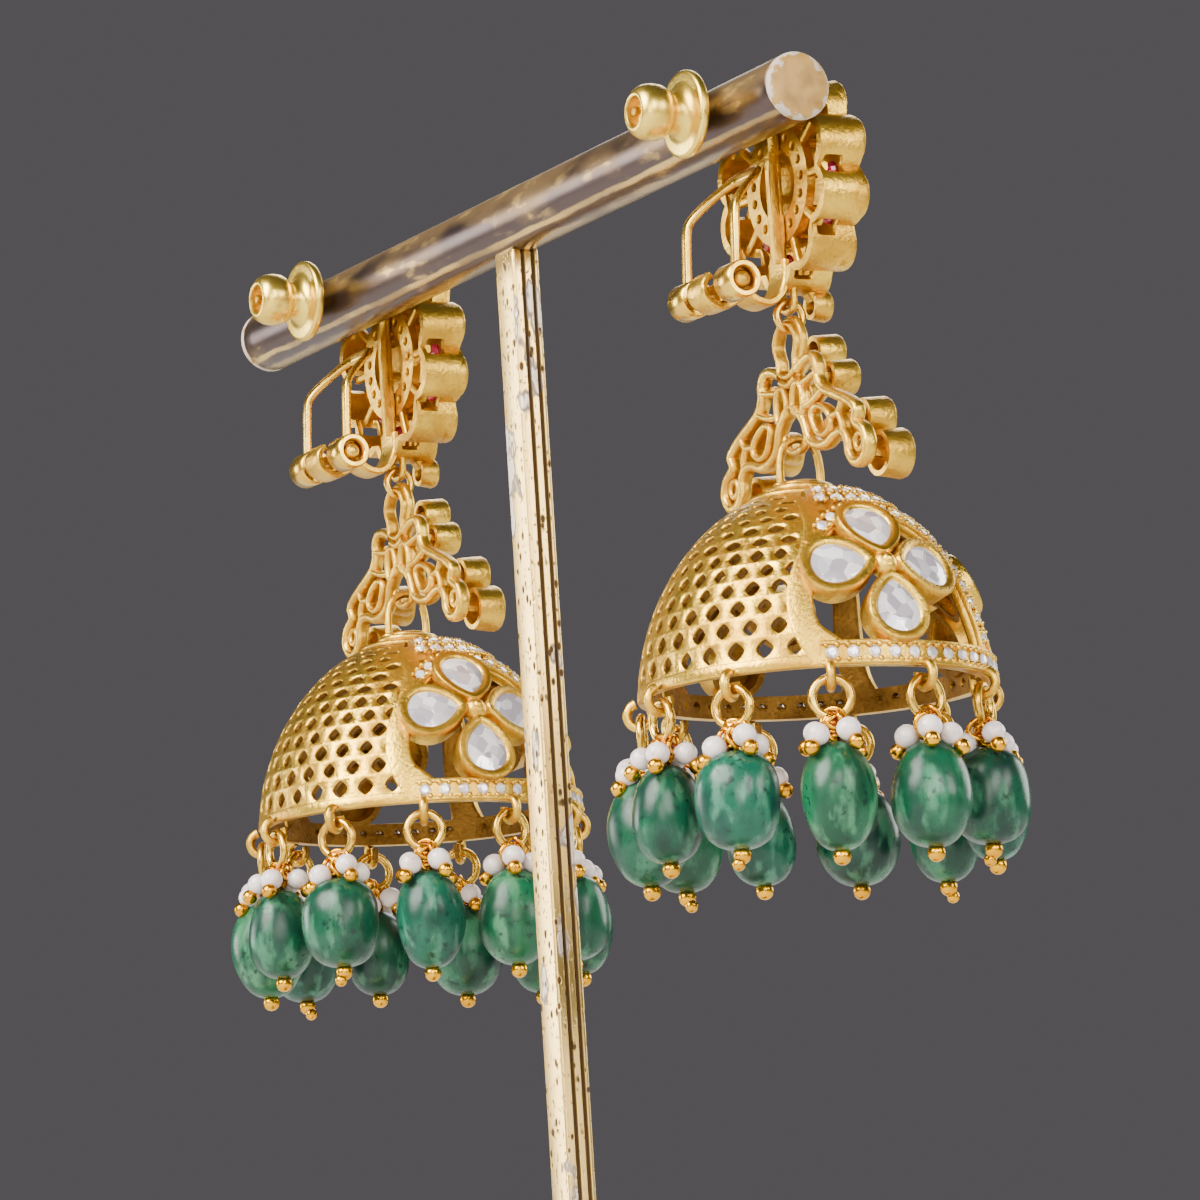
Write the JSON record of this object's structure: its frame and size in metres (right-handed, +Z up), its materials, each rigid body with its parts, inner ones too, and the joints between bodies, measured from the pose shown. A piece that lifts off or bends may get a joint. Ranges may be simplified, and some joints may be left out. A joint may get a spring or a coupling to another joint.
{
  "type": "pair of jhumka earrings on t-bar stand",
  "caption": "Pair of bell-shaped jhumka earrings with green bead drops, hung by their ear posts through the bar of a plain T-bar display stand.",
  "frame": {"origin": "centre of the underside of the stand base", "axes": "+Z up along the post, X along the bar, the earrings face -Y and their clutches sit on the +Y side"},
  "size_m": [0.1224, 0.064, 0.1789],
  "materials": {
    "cast_gold": "satin cast gold plating",
    "wire_gold": "polished gold plated wire",
    "clutch_gold": "polished turned gold plating",
    "shot_gold": "bright orange gold balls and wraps",
    "pale_gold": "pale gold plating with dark pits",
    "dark_bronze": "dark worn bronze with gold rubbing through",
    "end_cap": "tan plug with a worn whitish rim",
    "green_bead": "polished translucent green stone with cloudy inclusions",
    "pearl": "off-white pearl",
    "white_stone": "foil-backed faceted white stone",
    "red_stone": "deep red faceted stone"
  },
  "bodies": {
    "stand": {"stand_base": "pale_gold", "stand_post": "pale_gold", "stand_bar": "dark_bronze", "stand_cap_left": "end_cap", "stand_cap_right": "end_cap", "left_ear_top": "cast_gold", "right_ear_top": "cast_gold"},
    "left_clip": {"left_omega_clip": "wire_gold"},
    "left_clutch": {"left_clutch": "clutch_gold"},
    "left_connector": {"left_top_ring": "wire_gold", "left_connector": "cast_gold"},
    "left_dome": {"left_dome": "cast_gold", "left_drop_01": "green_bead", "left_drop_02": "green_bead", "left_drop_03": "green_bead", "left_drop_04": "green_bead", "left_drop_05": "green_bead", "left_drop_06": "green_bead", "left_drop_07": "green_bead", "left_drop_08": "green_bead", "left_drop_09": "green_bead", "left_drop_10": "green_bead", "left_drop_11": "green_bead"},
    "right_clip": {"right_omega_clip": "wire_gold"},
    "right_clutch": {"right_clutch": "clutch_gold"},
    "right_connector": {"right_top_ring": "wire_gold", "right_connector": "cast_gold"},
    "right_dome": {"right_dome": "cast_gold", "right_drop_01": "green_bead", "right_drop_02": "green_bead", "right_drop_03": "green_bead", "right_drop_04": "green_bead", "right_drop_05": "green_bead", "right_drop_06": "green_bead", "right_drop_07": "green_bead", "right_drop_08": "green_bead", "right_drop_09": "green_bead", "right_drop_10": "green_bead", "right_drop_11": "green_bead"}
  },
  "joints": [
    {"name": "left_clip_hinge", "type": "hinge", "parent": "stand", "child": "left_clip", "pos_m": [-0.045, 0.0032, 0.1584], "axis": [-1, 0, 0], "range_deg": [0, 80]},
    {"name": "left_clutch_slide", "type": "slide", "parent": "stand", "child": "left_clutch", "axis": [0, 1, 0], "range_m": [0, 0.008]},
    {"name": "left_connector_swing", "type": "hinge", "parent": "stand", "child": "left_connector", "pos_m": [-0.045, -0.0046, 0.1568], "axis": [1, 0, 0], "range_deg": [-20, 20]},
    {"name": "left_dome_swing", "type": "hinge", "parent": "left_connector", "child": "left_dome", "pos_m": [-0.045, -0.0046, 0.14359], "axis": [1, 0, 0], "range_deg": [-20, 20]},
    {"name": "right_clip_hinge", "type": "hinge", "parent": "stand", "child": "right_clip", "pos_m": [0.038, 0.0032, 0.1584], "axis": [-1, 0, 0], "range_deg": [0, 80]},
    {"name": "right_clutch_slide", "type": "slide", "parent": "stand", "child": "right_clutch", "axis": [0, 1, 0], "range_m": [0, 0.008]},
    {"name": "right_connector_swing", "type": "hinge", "parent": "stand", "child": "right_connector", "pos_m": [0.038, -0.0046, 0.1568], "axis": [1, 0, 0], "range_deg": [-20, 20]},
    {"name": "right_dome_swing", "type": "hinge", "parent": "right_connector", "child": "right_dome", "pos_m": [0.038, -0.0046, 0.14359], "axis": [1, 0, 0], "range_deg": [-20, 20]}
  ]
}
